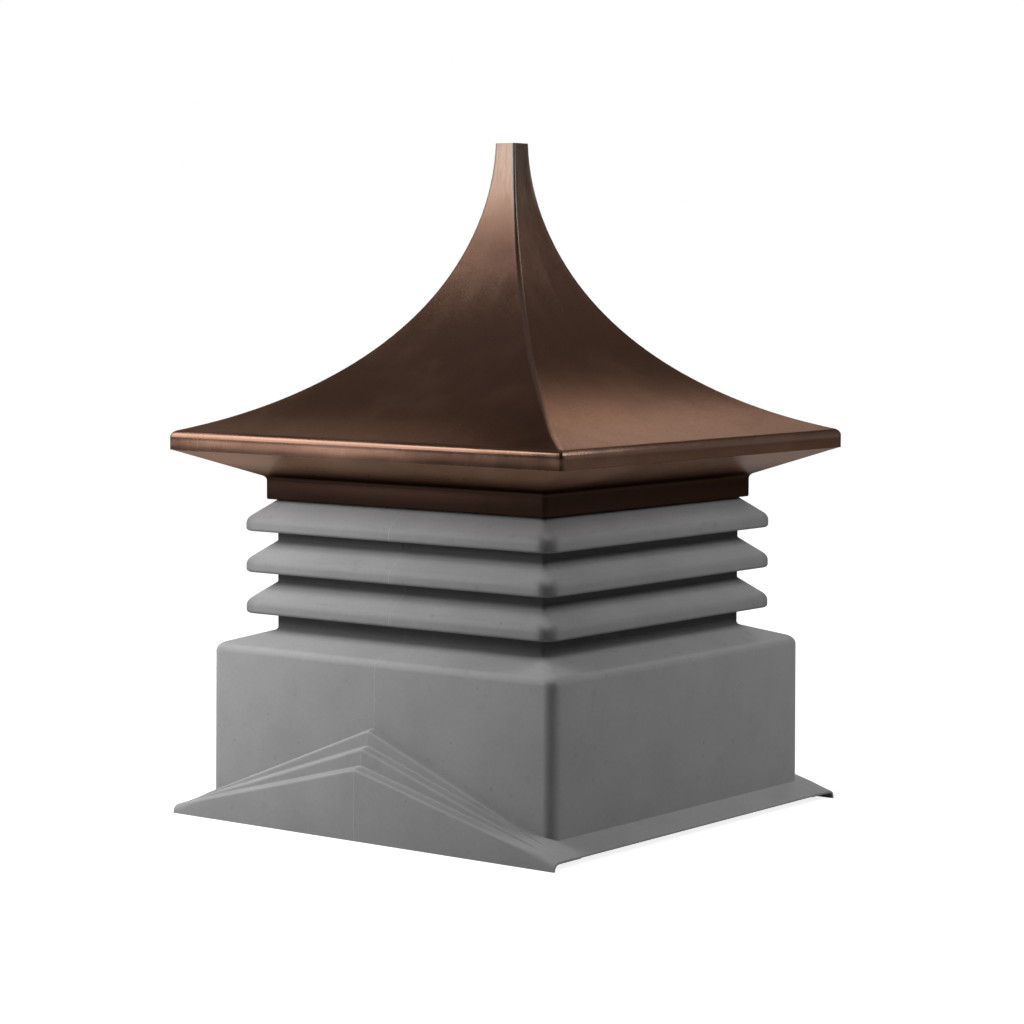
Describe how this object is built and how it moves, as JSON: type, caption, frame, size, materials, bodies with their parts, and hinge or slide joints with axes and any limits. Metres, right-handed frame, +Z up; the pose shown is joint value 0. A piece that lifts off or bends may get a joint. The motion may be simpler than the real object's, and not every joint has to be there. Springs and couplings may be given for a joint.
{
  "type": "roof cupola",
  "caption": "Square roof cupola: thin moulded body with a stepped ridge saddle, eave flanges and louvre tiers, under a flared four-sided copper roof with an open tip.",
  "frame": {"origin": "middle of the footprint on the level of the gable feet", "axes": "+Z up to the tip, -Y the front gable side, +X the right eave side; the building's ridge runs along Y"},
  "size_m": [0.762, 0.767, 1.054],
  "materials": {
    "body": "mid grey moulded polymer, satin, lightly mottled",
    "copper": "dark brown weathered copper sheet, brushed, with paler rubbed edges"
  },
  "bodies": {
    "root": {"gable_wall_front": "body", "gable_wall_back": "body", "eave_wall_right": "body", "eave_flange_right": "body", "eave_wall_left": "body", "eave_flange_left": "body", "shoulder_front": "body", "shoulder_right": "body", "shoulder_back": "body", "shoulder_left": "body", "louvre_lower_front": "body", "louvre_lower_right": "body", "louvre_lower_back": "body", "louvre_lower_left": "body", "louvre_middle_front": "body", "louvre_middle_right": "body", "louvre_middle_back": "body", "louvre_middle_left": "body", "louvre_upper_front": "body", "louvre_upper_right": "body", "louvre_upper_back": "body", "louvre_upper_left": "body", "neck_rim_front": "body", "neck_rim_right": "body", "neck_rim_back": "body", "neck_rim_left": "body", "collar_front": "copper", "collar_right": "copper", "collar_back": "copper", "collar_left": "copper", "soffit_front": "copper", "soffit_right": "copper", "soffit_back": "copper", "soffit_left": "copper", "roof_panel_front": "copper", "roof_panel_right": "copper", "roof_panel_back": "copper", "roof_panel_left": "copper", "finial_seat": "copper"}
  },
  "joints": []
}
